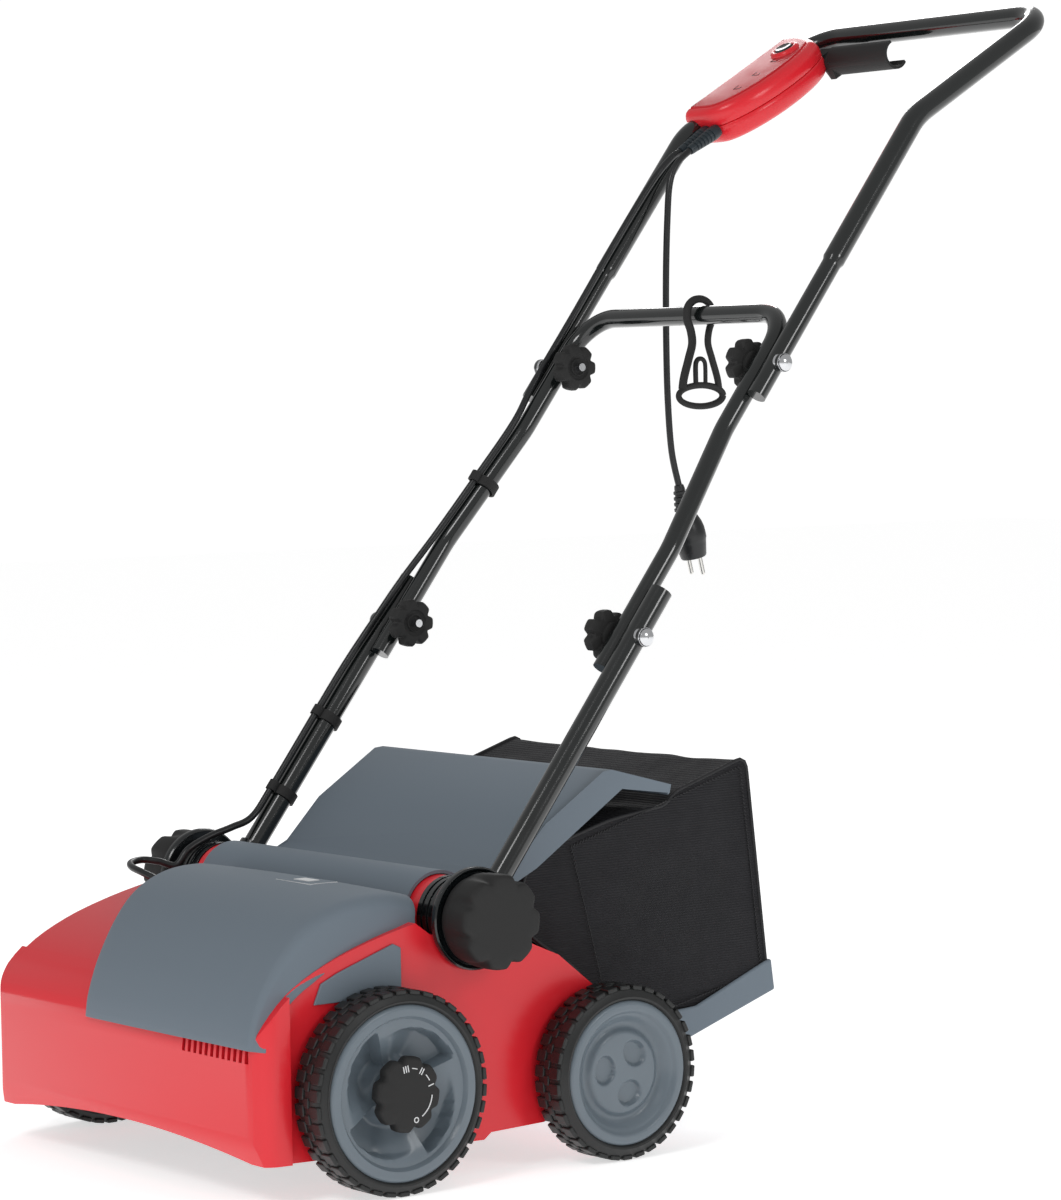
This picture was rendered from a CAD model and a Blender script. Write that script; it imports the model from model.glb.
"""Looks of an electric lawn dethatcher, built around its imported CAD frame.

The frame stands on z = 0 with its nose towards -Y and its push bar towards +Y. Sizes are in metres.
"""

import logging
import math
from dataclasses import dataclass
from enum import Enum
from typing import Callable, Iterable, Sequence, Union

import bmesh
import bpy
from mathutils import Matrix, Vector, noise


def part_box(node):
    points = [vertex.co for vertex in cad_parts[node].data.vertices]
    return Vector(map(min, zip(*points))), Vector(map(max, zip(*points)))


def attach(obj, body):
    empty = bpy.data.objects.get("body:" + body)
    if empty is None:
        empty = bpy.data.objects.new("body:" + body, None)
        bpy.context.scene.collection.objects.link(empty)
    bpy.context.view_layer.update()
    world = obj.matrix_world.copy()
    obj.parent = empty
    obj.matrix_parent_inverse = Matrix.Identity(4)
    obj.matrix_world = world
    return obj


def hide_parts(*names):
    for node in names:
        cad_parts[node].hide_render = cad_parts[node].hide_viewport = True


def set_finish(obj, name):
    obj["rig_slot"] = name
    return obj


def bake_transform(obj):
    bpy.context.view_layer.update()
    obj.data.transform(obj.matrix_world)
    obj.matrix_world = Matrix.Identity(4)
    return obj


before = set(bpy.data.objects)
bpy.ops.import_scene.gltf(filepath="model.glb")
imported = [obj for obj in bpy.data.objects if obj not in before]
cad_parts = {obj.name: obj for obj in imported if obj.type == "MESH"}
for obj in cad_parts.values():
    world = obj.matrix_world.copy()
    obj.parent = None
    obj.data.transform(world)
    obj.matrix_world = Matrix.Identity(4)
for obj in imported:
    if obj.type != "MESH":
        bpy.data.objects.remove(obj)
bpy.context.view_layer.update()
log = logging.getLogger("dethatcher")

Row = list[Vector]
Outline = list[tuple[float, float]]
Value = Union["Wire", float, tuple]

NOSE_TO_AXLE = (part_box("front_tyre_right")[0][1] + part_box("front_tyre_right")[1][1]) / 2
HANDLE_TILT = math.radians(52.3)
GRIP_TILT = math.radians(30.3)
HUB = (0.108, 0.233)
TUBE_DROP = 0.018


class Side(Enum):
    """The two sides of the machine."""

    RIGHT = 1
    LEFT = -1

    @property
    def word(self) -> str:
        """The side's name as the CAD nodes spell it."""
        return self.name.lower()


# ---- places on the machine ----
def at(x: float, y: float, z: float) -> Vector:
    """A point of the machine, with y counted from the front axle."""
    return Vector((x, y + NOSE_TO_AXLE, z))


def on_handle(x: float, s: float, behind: float = 0.0) -> Vector:
    """A point s up the handle's tube line.

    Args:
        x: place across the machine.
        s: distance up the handle from the hub axis.
        behind: distance behind the tube line.

    Returns:
        The point in the frame.
    """
    c, n = math.cos(HANDLE_TILT), math.sin(HANDLE_TILT)
    k = TUBE_DROP + behind
    return at(x, HUB[0] + s * c + k * n, HUB[1] + s * n - k * c)


BEND = on_handle(0.0, 0.945)


def on_grip(x: float, s: float, t: float) -> Vector:
    """A point on the push bar's upper slope.

    Args:
        x: place across, from the left leg's centre.
        s: distance up the slope from the bend.
        t: height above the slope.

    Returns:
        The point in the frame.
    """
    c, n = math.cos(GRIP_TILT), math.sin(GRIP_TILT)
    return Vector((x - 0.179, BEND.y + s * c - t * n, BEND.z + s * n + t * c))


def smooth_line(points: Sequence[Sequence[float]], steps: int) -> list[Vector]:
    """A smooth curve through points.

    Args:
        points: the points to pass through.
        steps: pieces in each span.

    Returns:
        The curve's points, ends included.
    """
    p = [Vector(q) for q in points]
    out: list[Vector] = []
    for i in range(len(p) - 1):
        a, b, c, d = p[max(i - 1, 0)], p[i], p[i + 1], p[min(i + 2, len(p) - 1)]
        for j in range(steps):
            t = j / steps
            out.append(
                0.5 * (2 * b + (c - a) * t + (2 * a - 5 * b + 4 * c - d) * t * t
                       + (3 * b - a - 3 * c + d) * t**3)
            )
    return out + [p[-1]]


def evenly(points: Sequence[Vector], count: int) -> list[Vector]:
    """The same line with count points at even distances.

    Args:
        points: the line, in order.
        count: how many points come back.

    Returns:
        The evenly spaced points.
    """
    runs = [0.0]
    for a, b in zip(points, points[1:]):
        runs.append(runs[-1] + (b - a).length)
    out, k = [], 0
    for i in range(count):
        want = runs[-1] * i / (count - 1)
        while k < len(points) - 2 and runs[k + 1] < want:
            k += 1
        span = runs[k + 1] - runs[k]
        out.append(points[k].lerp(points[k + 1], 0 if span == 0 else (want - runs[k]) / span))
    return out


def length_of(points: Sequence[Vector]) -> float:
    """The length of a line of points."""
    return sum((b - a).length for a, b in zip(points, points[1:]))


def ease(low: float, high: float, value: float) -> float:
    """0 below low, 1 above high and a smooth rise between them."""
    t = min(1.0, max(0.0, (value - low) / (high - low)))
    return t * t * (3 - 2 * t)


# ---- node graphs ----
class Wire:
    """A node's output socket that takes part in Python expressions."""

    def __init__(self, graph: "Graph", socket: bpy.types.NodeSocket) -> None:
        """Keeps the socket with the graph it belongs to."""
        self.graph = graph
        self.socket = socket

    def _with(self, operation: str, *values: Value) -> "Wire":
        """A Math node on the given values."""
        kind = "ShaderNodeMath"
        return self.graph.node(kind, {"operation": operation}, dict(enumerate(values)))

    def __add__(self, other: Value) -> "Wire":
        """The sum."""
        return self._with("ADD", self, other)

    def __radd__(self, other: Value) -> "Wire":
        """The sum, with this value second."""
        return self._with("ADD", other, self)

    def __sub__(self, other: Value) -> "Wire":
        """The difference."""
        return self._with("SUBTRACT", self, other)

    def __rsub__(self, other: Value) -> "Wire":
        """The difference, with this value taken off."""
        return self._with("SUBTRACT", other, self)

    def __mul__(self, other: Value) -> "Wire":
        """The product."""
        return self._with("MULTIPLY", self, other)

    def __rmul__(self, other: Value) -> "Wire":
        """The product, with this value second."""
        return self._with("MULTIPLY", other, self)

    def __truediv__(self, other: Value) -> "Wire":
        """The quotient."""
        return self._with("DIVIDE", self, other)

    def __pow__(self, other: Value) -> "Wire":
        """The power."""
        return self._with("POWER", self, other)

    def sine(self) -> "Wire":
        """The sine."""
        return self._with("SINE", self)


class Graph:
    """A node tree that is built by calls."""

    def __init__(self, tree: bpy.types.NodeTree) -> None:
        """Starts with an empty tree."""
        self.tree = tree
        tree.nodes.clear()

    def node(self, kind: str, settings: dict | None = None, sockets: dict | None = None,
             out: int = 0) -> Wire:
        """Adds one node.

        Args:
            kind: the node's type.
            settings: its own settings, set before its sockets; "stops" gives a ramp's stops.
            sockets: values or wires for its inputs, by name or number.
            out: which output to return.

        Returns:
            The chosen output.
        """
        made = self.tree.nodes.new(kind)
        for key, value in (settings or {}).items():
            if key == "stops":
                ramp = made.color_ramp
                while len(ramp.elements) < len(value):
                    ramp.elements.new(0.5)
                for element, (place, color) in zip(ramp.elements, value):
                    element.position, element.color = place, (*color, 1.0)
            else:
                setattr(made, key, value)
        for key, value in (sockets or {}).items():
            socket = made.inputs[key]
            if isinstance(value, Wire):
                self.tree.links.new(value.socket, socket)
            else:
                socket.default_value = value
        return Wire(self, made.outputs[out] if len(made.outputs) else None)

    def blend_colors(self, factor: Value, a: Value, b: Value) -> Wire:
        """A colour between a and b."""
        return self.node("ShaderNodeMix", {"data_type": "RGBA"}, {0: factor, 6: a, 7: b}, out=2)

    def noise(self, point: Value, size: float, detail: float = 3.0) -> Wire:
        """Noise whose grains are about size across."""
        return self.node("ShaderNodeTexNoise", {}, {"Vector": point, "Scale": 1 / size, "Detail": detail})


# ---- finishes ----
@dataclass(frozen=True)
class Finish:
    """A surface finish with its own grain and small unevenness.

    Attributes:
        name: the material's name.
        slot: the record's material slot.
        color: the base colour.
        roughness: the middle roughness.
        metallic: how metallic it is.
        coat: weight of a clear coat.
        grain: depth of the moulded grain.
        grain_size: size of a grain.
        mottle: how much the colour wanders.
        edge: radius of the soft edge that light catches.
    """

    name: str
    slot: str
    color: tuple[float, float, float]
    roughness: float
    metallic: float = 0.0
    coat: float = 0.0
    grain: float = 0.0002
    grain_size: float = 0.0009
    mottle: float = 0.12
    edge: float = 0.0

    def height(self, graph: Graph, point: Wire) -> Wire:
        """The relief that the bump follows, in metres."""
        return graph.noise(point, self.grain_size, 2.0) * self.grain

    def tint(self, graph: Graph, point: Wire) -> Wire:
        """The colour with its slow wander.

        Args:
            graph: the node graph.
            point: the place on the piece.

        Returns:
            The colour.
        """
        pale = tuple(min(1.0, c * (1 + self.mottle) + 0.002) for c in self.color)
        deep = tuple(c * (1 - self.mottle) for c in self.color)
        return graph.blend_colors(graph.noise(point, 0.045), (*deep, 1), (*pale, 1))

    def material(self) -> bpy.types.Material:
        """Builds the material, or returns it if it is there already."""
        found = bpy.data.materials.get(self.name)
        if found:
            return found
        made = bpy.data.materials.new(self.name)
        made.use_nodes = True
        graph = Graph(made.node_tree)
        point = graph.node("ShaderNodeTexCoord", out=3)
        shine = graph.noise(point, 0.02, 4.0)
        bump = {"Height": self.height(graph, point), "Strength": 1.0, "Distance": 1.0}
        if self.edge:
            bump["Normal"] = graph.node("ShaderNodeBevel", {"samples": 4}, {"Radius": self.edge})
        surface = {
            "Base Color": self.tint(graph, point),
            "Roughness": shine * 0.16 + (self.roughness - 0.08),
            "Metallic": self.metallic,
            "Coat Weight": self.coat,
            "Coat Roughness": 0.08,
            "Normal": graph.node("ShaderNodeBump", {}, bump),
        }
        shader = graph.node("ShaderNodeBsdfPrincipled", {}, surface)
        graph.node("ShaderNodeOutputMaterial", {}, {"Surface": shader})
        return made


@dataclass(frozen=True)
class Brushed(Finish):
    """Turned or drawn metal with fine lines along X."""

    def height(self, graph: Graph, point: Wire) -> Wire:
        """Fine lines that run round the turned piece."""
        spread = graph.node("ShaderNodeMapping", {}, {"Vector": point, "Scale": (900.0, 60.0, 60.0)})
        return graph.node("ShaderNodeTexNoise", {}, {"Vector": spread, "Scale": 1.0}) * self.grain


@dataclass(frozen=True)
class Woven(Finish):
    """Ribbed woven fabric; the ribs follow the cloth's own map."""

    rib: float = 0.0024

    def height(self, graph: Graph, point: Wire) -> Wire:
        """Ribs with cross threads and slack between the seams.

        Args:
            graph: the node graph.
            point: the place on the piece.

        Returns:
            The height in metres.
        """
        where = graph.node("ShaderNodeUVMap", {"uv_map": "Weave"})
        parts = graph.node("ShaderNodeSeparateXYZ", {}, {0: where})
        along = Wire(graph, parts.socket.node.outputs[0])
        across = Wire(graph, parts.socket.node.outputs[1])
        ribs = (across * (2 * math.pi / self.rib)).sine() * 0.5 + 0.5
        threads = (along * (2 * math.pi / (self.rib * 0.45))).sine() * 0.3 + 0.7
        slack = graph.noise(point, 0.07, 2.0)
        return ribs * threads * self.grain + slack * 0.006

    def tint(self, graph: Graph, point: Wire) -> Wire:
        """Darker between the ribs, with a little dust on them.

        Args:
            graph: the node graph.
            point: the place on the piece.

        Returns:
            The colour.
        """
        where = graph.node("ShaderNodeUVMap", {"uv_map": "Weave"})
        parts = graph.node("ShaderNodeSeparateXYZ", {}, {0: where})
        across = Wire(graph, parts.socket.node.outputs[1])
        ribs = (across * (2 * math.pi / self.rib)).sine() * 0.5 + 0.5
        dust = graph.noise(point, 0.03, 5.0)
        pale = tuple(c * 2.6 + 0.004 for c in self.color)
        return graph.blend_colors(ribs * dust, (*self.color, 1), (*pale, 1))


RED_SHELL = Finish("red_shell", "red_shell", (0.66, 0.006, 0.012), 0.24, coat=0.4, grain=0.00004,
                   grain_size=0.004, mottle=0.05, edge=0.0008)
RED_FLAT = Finish("red_matt_panel", "red_shell", (0.62, 0.012, 0.022), 0.40, grain=0.00002,
                  grain_size=0.0012, mottle=0.05)
GREY_COVER = Finish("grey_cover", "grey_cover", (0.105, 0.155, 0.185), 0.36, coat=0.1, grain=0.00005,
                    grain_size=0.0011, mottle=0.06, edge=0.0008)
GREY_RIM = Finish("grey_rim", "grey_cover", (0.14, 0.175, 0.205), 0.33, coat=0.15, grain=0.00004,
                  grain_size=0.0016, mottle=0.07, edge=0.0006)
BLACK_GRAINED = Finish("black_plastic", "black_plastic", (0.013, 0.017, 0.019), 0.42, grain=0.00018,
                       grain_size=0.0008, mottle=0.2, edge=0.0007)
BLACK_GLOSS = Finish("black_gloss_plastic", "black_plastic", (0.006, 0.008, 0.009), 0.2, coat=0.4,
                     grain=0.00003, grain_size=0.002, mottle=0.2, edge=0.0007)
TUBE_COAT = Finish("black_tube_coat", "black_tube", (0.005, 0.007, 0.007), 0.16, coat=0.7, grain=0.00003,
                   grain_size=0.0016, mottle=0.15)
TYRE_RUBBER = Finish("tyre_rubber", "tyre", (0.011, 0.012, 0.012), 0.44, grain=0.00012, grain_size=0.0011,
                     mottle=0.35, edge=0.0008)
STEEL = Brushed("turned_steel", "steel", (0.55, 0.56, 0.57), 0.32, metallic=1.0, grain=0.00002, mottle=0.08,
                edge=0.0004)
BRIGHT_ZINC = Finish("bright_zinc", "zinc", (0.72, 0.73, 0.75), 0.16, metallic=1.0, grain=0.00001,
                     mottle=0.05, edge=0.0004)
TINE_STEEL = Finish("black_tine_steel", "steel", (0.018, 0.019, 0.02), 0.38, metallic=0.6, grain=0.00015,
                    grain_size=0.0014, mottle=0.4, edge=0.0005)
MOTOR_CAN = Finish("motor_can", "cast_motor", (0.2, 0.21, 0.22), 0.45, metallic=0.7, grain=0.0001,
                   mottle=0.15, edge=0.0008)
BELT_RUBBER = Finish("belt_rubber", "belt", (0.012, 0.012, 0.012), 0.6, grain=0.0002, grain_size=0.0012,
                     mottle=0.3)
CORD_SHEATH = Finish("cord_sheath", "cord", (0.009, 0.010, 0.011), 0.34, grain=0.00005, grain_size=0.0012,
                     mottle=0.25)
GLAND_RUBBER = Finish("gland_rubber", "cord", (0.014, 0.024, 0.031), 0.38, grain=0.00008, grain_size=0.001,
                      mottle=0.2)
PIN_NICKEL = Brushed("pin_nickel", "brass_pin", (0.72, 0.71, 0.68), 0.2, metallic=1.0, grain=0.00001,
                     mottle=0.05)
BAG_WEAVE = Woven("bag_weave", "fabric", (0.0065, 0.0065, 0.0085), 0.82, grain=0.0007, mottle=0.3)
BAG_PIPING = Finish("bag_piping", "fabric", (0.008, 0.008, 0.010), 0.6, grain=0.0003, grain_size=0.0009,
                    mottle=0.3)
MARK_WHITE = Finish("mark_white", "black_plastic", (0.75, 0.76, 0.77), 0.5, grain=0.00002, mottle=0.05)


# ---- meshes ----
def new_piece(name: str, verts: Iterable[Sequence[float]], faces: Iterable[Sequence[int]], finish: Finish,
              crease: float = 35.0) -> bpy.types.Object:
    """Makes an object from points and faces.

    Args:
        name: the piece's name.
        verts: its points, in the frame.
        faces: its faces, as numbers of points.
        finish: what it is covered with.
        crease: angle in degrees above which an edge stays sharp.

    Returns:
        The new object, with its normals outwards.
    """
    mesh = bpy.data.meshes.new(name)
    mesh.from_pydata([tuple(v) for v in verts], [], [tuple(f) for f in faces])
    work = bmesh.new()
    work.from_mesh(mesh)
    bmesh.ops.remove_doubles(work, verts=work.verts, dist=1e-6)
    bmesh.ops.recalc_face_normals(work, faces=work.faces)
    work.to_mesh(mesh)
    work.free()
    return dressed(bpy.data.objects.new(name, mesh), finish, crease)


def dressed(obj: bpy.types.Object, finish: Finish, crease: float = 35.0) -> bpy.types.Object:
    """Links an object, smooths its faces and gives it its finish.

    Args:
        obj: the new object.
        finish: what it is covered with.
        crease: angle in degrees above which an edge stays sharp.

    Returns:
        The same object.
    """
    if obj.name not in bpy.context.scene.collection.objects:
        bpy.context.scene.collection.objects.link(obj)
    obj.data.materials.clear()
    obj.data.materials.append(finish.material())
    for face in obj.data.polygons:
        face.use_smooth = True
    obj.data.set_sharp_from_angle(angle=math.radians(crease))
    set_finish(obj, finish.slot)
    return obj


def bevelled(obj: bpy.types.Object, width: float, segments: int = 2, angle: float = 30.0) -> bpy.types.Object:
    """Rounds an object's sharp edges with a Bevel modifier.

    Args:
        obj: the piece.
        width: how far the rounding reaches.
        segments: steps in the rounding.
        angle: the least edge angle in degrees that is rounded.

    Returns:
        The same piece.
    """
    made = obj.modifiers.new("soft_edges", "BEVEL")
    made.width, made.segments, made.limit_method = width, segments, "ANGLE"
    made.angle_limit = math.radians(angle)
    made.use_clamp_overlap = True
    return obj


def thickened(obj: bpy.types.Object, wall: float, offset: float = -1.0) -> bpy.types.Object:
    """Gives a skin its wall with a Solidify modifier.

    Args:
        obj: the skin.
        wall: its thickness.
        offset: side that the wall grows to; -1 is inwards.

    Returns:
        The same piece.
    """
    made = obj.modifiers.new("wall", "SOLIDIFY")
    made.thickness, made.offset = wall, offset
    return obj


def skin(rows: Sequence[Row], ring: bool = False, loop: bool = False, caps: bool = False) -> tuple[list,
        list]:
    """Joins rows of points into a surface.

    Args:
        rows: rows with the same number of points.
        ring: whether each row closes on itself.
        loop: whether the last row joins the first.
        caps: whether the first and last row get a face.

    Returns:
        The points and the faces.
    """
    n, count = len(rows[0]), len(rows)
    verts = [p for row in rows for p in row]
    faces: list[tuple[int, ...]] = []
    for i in range(count if loop else count - 1):
        a, b = i * n, (i + 1) % count * n
        for k in range(n if ring else n - 1):
            m = (k + 1) % n
            faces.append((a + k, b + k, b + m, a + m))
    if caps:
        faces += [tuple(range(n)), tuple((count - 1) * n + k for k in reversed(range(n)))]
    return verts, faces


def turned(profile: Sequence[tuple[float, float]], place: Callable[[float, float, float], Vector],
           steps: int = 96,
           closed: bool = True) -> tuple[list, list]:
    """Turns a profile round an axis.

    Args:
        profile: pairs of distance along the axis and radius.
        place: puts a point at distance, radius and angle.
        steps: pieces in a turn.
        closed: whether the profile's end joins its start.

    Returns:
        The points and the faces.
    """
    rows = [[place(d, r, 2 * math.pi * k / steps) for d, r in profile] for k in range(steps)]
    return skin(rows, ring=closed, loop=True)


def about_x(y: float, z: float) -> Callable[[float, float, float], Vector]:
    """Places points round an axis along X through y and z."""
    return lambda d, r, a: at(d, y + r * math.cos(a), z + r * math.sin(a))


def about_line(start: Vector, way: Vector) -> Callable[[float, float, float], Vector]:
    """Places points round a line from start in a given direction.

    Args:
        start: a point on the axis.
        way: the axis' direction.

    Returns:
        A function of distance, radius and angle.
    """
    way = way.normalized()
    u = way.orthogonal().normalized()
    v = way.cross(u)
    return lambda d, r, a: start + way * d + (u * math.cos(a) + v * math.sin(a)) * r


def pipe(path: Sequence[Vector], radius: Callable[[float], float], sides: int = 20,
         flat: float = 1.0) -> tuple[list, list]:
    """Sweeps a round section along a path, without twisting it.

    Args:
        path: the points of the centreline.
        radius: the radius at a share of the length.
        sides: points in a ring.
        flat: how much the section is flattened on its second axis.

    Returns:
        The points and the faces.
    """
    n = len(path)
    ways = [(path[min(i + 1, n - 1)] - path[max(i - 1, 0)]).normalized() for i in range(n)]
    up = ways[0].orthogonal().normalized()
    rows: list[Row] = []
    for i, (p, w) in enumerate(zip(path, ways)):
        up = (up - w * up.dot(w)).normalized()
        out = w.cross(up)
        r = radius(i / (n - 1))
        ring = [2 * math.pi * k / sides for k in range(sides)]
        rows.append([p + up * (r * math.cos(a)) + out * (r * flat * math.sin(a)) for a in ring])
    return skin(rows, ring=True, caps=True)


def filleted(corners: Sequence[tuple[Vector, float]], steps: int = 14) -> list[Vector]:
    """A path through corners, each rounded to its own radius.

    Args:
        corners: the corners, each with its bend radius; 0 for a plain end.
        steps: points in a bend.

    Returns:
        The path's points.
    """
    out = [corners[0][0]]
    for (a, _), (b, radius), (c, _) in zip(corners, corners[1:], corners[2:]):
        u, v = (a - b).normalized(), (c - b).normalized()
        half = u.angle(v) / 2
        reach = radius / math.tan(half)
        middle = b + (u + v).normalized() * (radius / math.sin(half))
        start, end = b + u * reach - middle, b + v * reach - middle
        sweep = start.angle(end)
        for k in range(steps + 1):
            t = k / steps
            out.append(middle + start * (math.sin((1 - t) * sweep) / math.sin(sweep))
                       + end * (math.sin(t * sweep) / math.sin(sweep)))
    return out + [corners[-1][0]]


def lobed(radius: float, lobes: int, depth: float, width: float, steps: int = 160,
          turn: float = 0.0) -> Outline:
    """The outline of a star knob.

    Args:
        radius: reach of its lobes.
        lobes: how many there are.
        depth: depth of a hollow between two.
        width: how wide a hollow is, as a share of its pitch.
        steps: points round it.
        turn: where the first hollow is, in radians.

    Returns:
        The outline's points.
    """
    out = []
    pitch = 2 * math.pi / lobes
    for k in range(steps):
        a = 2 * math.pi * k / steps
        off = ((a - turn) % pitch) / pitch - 0.5
        u = min(1.0, (0.5 - abs(off)) / width)
        r = radius - depth * (0.5 + 0.5 * math.cos(math.pi * u))
        out.append((r * math.cos(a), r * math.sin(a)))
    return out


def inset(outline: Outline, by: float) -> Outline:
    """Moves a counter-clockwise outline inwards.

    Args:
        outline: the outline.
        by: the distance, or a negative one to grow it.

    Returns:
        The moved outline.
    """
    n, out = len(outline), []
    for i in range(n):
        a, b, c = (Vector(outline[(i + k) % n]) for k in (-1, 0, 1))
        u, v = (b - a).normalized(), (c - b).normalized()
        m = Vector((-u.y - v.y, u.x + v.x))
        m = m.normalized() if m.length > 1e-9 else Vector((-u.y, u.x))
        scale = max(0.5, m.dot(Vector((-u.y, u.x))))
        q = b + m * (by / scale)
        out.append((q.x, q.y))
    return out


def stacked(levels: Sequence[tuple[Outline, float]],
            place: Callable[[float, float, float], Vector]) -> tuple[list, list]:
    """Joins outlines at rising heights into a closed body.

    Args:
        levels: outlines with their heights.
        place: puts an outline's point and height in the frame.

    Returns:
        The points and the faces.
    """
    rows = [[place(u, v, h) for u, v in outline] for outline, h in levels]
    return skin(rows, ring=True, caps=True)


def joined(name: str, parts: Sequence[bpy.types.Object]) -> bpy.types.Object:
    """Makes one object of several that lie in place.

    Args:
        name: the new name.
        parts: the objects, which are used up.

    Returns:
        The one object.
    """
    work = bmesh.new()
    for part in parts:
        work.from_mesh(part.data)
    mesh = bpy.data.meshes.new(name)
    work.to_mesh(mesh)
    work.free()
    finish = parts[0].data.materials[0]
    slot = parts[0].get("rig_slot")
    for part in parts:
        bpy.data.objects.remove(part)
    obj = bpy.data.objects.new(name, mesh)
    bpy.context.scene.collection.objects.link(obj)
    mesh.materials.append(finish)
    if slot:
        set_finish(obj, slot)
    return obj


class GeoTree:
    """A Geometry Nodes tree with named inputs, baked into a plain mesh."""

    def __init__(self, name: str, sizes: dict[str, float]) -> None:
        """Starts a tree with one named number for each size.

        Args:
            name: the tree's name.
            sizes: the named inputs with their values.
        """
        self.sizes = sizes
        self.tree = bpy.data.node_groups.new(name, "GeometryNodeTree")
        self.graph = Graph(self.tree)
        face = self.tree.interface
        for key, value in sizes.items():
            kind = "NodeSocketInt" if isinstance(value, int) else "NodeSocketFloat"
            face.new_socket(key, in_out="INPUT", socket_type=kind)
        face.new_socket("Geometry", in_out="OUTPUT", socket_type="NodeSocketGeometry")
        start = self.tree.nodes.new("NodeGroupInput")
        self.inputs = {s.name: Wire(self.graph, s) for s in start.outputs if s.name}

    def bake(self, name: str, result: Wire, finish: Finish, crease: float = 35.0) -> bpy.types.Object:
        """Ends the tree and turns its result into a mesh.

        Args:
            name: the piece's name.
            result: the geometry that the tree has made.
            finish: what it is covered with.
            crease: angle in degrees above which an edge stays sharp.

        Returns:
            The piece as a plain mesh.
        """
        real = self.graph.node("GeometryNodeRealizeInstances", {}, {0: result})
        coated = self.graph.node("GeometryNodeSetMaterial", {}, {0: real, "Material": finish.material()})
        end = self.tree.nodes.new("NodeGroupOutput")
        self.tree.links.new(coated.socket, end.inputs[0])
        holder = bpy.data.objects.new(name + "_maker", bpy.data.meshes.new(name + "_maker"))
        bpy.context.scene.collection.objects.link(holder)
        made = holder.modifiers.new("nodes", "NODES")
        made.node_group = self.tree
        for item in self.tree.interface.items_tree:
            if item.item_type == "SOCKET" and item.in_out == "INPUT":
                made[item.identifier] = self.sizes[item.name]
        bpy.context.view_layer.update()
        seen = holder.evaluated_get(bpy.context.evaluated_depsgraph_get())
        mesh = bpy.data.meshes.new_from_object(seen)
        mesh.name = name
        holder.modifiers.clear()
        bpy.data.objects.remove(holder)
        return dressed(bpy.data.objects.new(name, mesh), finish, crease)


def ring_of(tree: GeoTree, item: Wire, count: Value, y: float, z: float, x: Value, radius: Value,
            turn: Value = 0.0) -> Wire:
    """Repeats an item round an axis along X.

    Args:
        tree: the tree that it is built in.
        item: the geometry to repeat, standing up from the axis along Z.
        count: how many there are.
        y: the axis' place, from the front axle.
        z: the axis' height.
        x: place along the axis.
        radius: distance of the item from the axis.
        turn: angle of the first one.

    Returns:
        The ring of items.
    """
    g = tree.graph
    row = g.node("GeometryNodeMeshLine", {"mode": "OFFSET"}, {"Count": count, "Offset": (0.0, 0.0, 0.0)})
    index = g.node("GeometryNodeInputIndex")
    angle = index * (2 * math.pi) / count + turn
    spot = g.node("ShaderNodeCombineXYZ", {}, {0: x, 1: (angle.sine() * -1.0) * radius + (y + NOSE_TO_AXLE),
                                               2: (angle + math.pi / 2).sine() * radius + z})
    moved = g.node("GeometryNodeSetPosition", {}, {"Geometry": row, "Position": spot})
    way = g.node("ShaderNodeCombineXYZ", {}, {0: angle, 1: 0.0, 2: 0.0})
    return g.node("GeometryNodeInstanceOnPoints", {}, {"Points": moved, "Instance": item, "Rotation": way})


# ---- carried-over CAD pieces ----
def keep(finish: Finish, *nodes: str) -> None:
    """Gives CAD nodes that stay visible their finish.

    Args:
        finish: what they are covered with.
        nodes: the nodes' names.
    """
    for name in nodes:
        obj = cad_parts[name]
        obj.data.materials.clear()
        obj.data.materials.append(finish.material())
        log.info("kept %s in %s", name, finish.name)


def carved(obj: bpy.types.Object, tool: bpy.types.Object, operation: str) -> None:
    """Cuts a piece with a tool and bakes the result.

    Args:
        obj: the piece.
        tool: the cutting body, which is used up.
        operation: INTERSECT or DIFFERENCE.
    """
    cut = obj.modifiers.new("cut", "BOOLEAN")
    cut.operation, cut.object, cut.solver = operation, tool, "EXACT"
    bpy.context.view_layer.update()
    seen = obj.evaluated_get(bpy.context.evaluated_depsgraph_get())
    mesh = bpy.data.meshes.new_from_object(seen)
    obj.modifiers.clear()
    obj.data = mesh
    bpy.data.objects.remove(tool)


def refined(node: str, finish: Finish, body: str, width: float, segments: int = 3, name: str = "",
            angle: float = 30.0, cuts: Callable[[bpy.types.Object], None] | None = None) -> bpy.types.Object:
    """Rebuilds a CAD node as a clean mesh with rounded edges.

    Args:
        node: the CAD node that it stands for.
        finish: what it is covered with.
        body: the body that it rides on.
        width: how far the rounding reaches from an edge.
        segments: steps in the rounding.
        name: the piece's name.
        angle: the least edge angle that is rounded.
        cuts: shapes the clean mesh before its edges are rounded.

    Returns:
        The new piece.
    """
    work = bmesh.new()
    work.from_mesh(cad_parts[node].data)
    bmesh.ops.remove_doubles(work, verts=work.verts, dist=2e-6)
    bmesh.ops.dissolve_limit(work, angle_limit=math.radians(0.6), verts=work.verts, edges=work.edges)
    mesh = bpy.data.meshes.new(name or node + "_body")
    work.to_mesh(mesh)
    work.free()
    obj = dressed(bpy.data.objects.new(mesh.name, mesh), finish, 40.0)
    if cuts:
        cuts(obj)
    bevelled(obj, width, segments, angle)
    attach(obj, body)
    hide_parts(node)
    log.info("refined %s", node)
    return obj


def stands_for(obj: bpy.types.Object, body: str, *nodes: str) -> bpy.types.Object:
    """Lets a new piece ride on a body in place of CAD nodes.

    Args:
        obj: the piece.
        body: the body that it rides on.
        nodes: the CAD nodes that it replaces.

    Returns:
        The same piece.
    """
    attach(obj, body)
    if nodes:
        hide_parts(*nodes)
    log.info("%s rides on %s", obj.name, body)
    return obj


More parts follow.
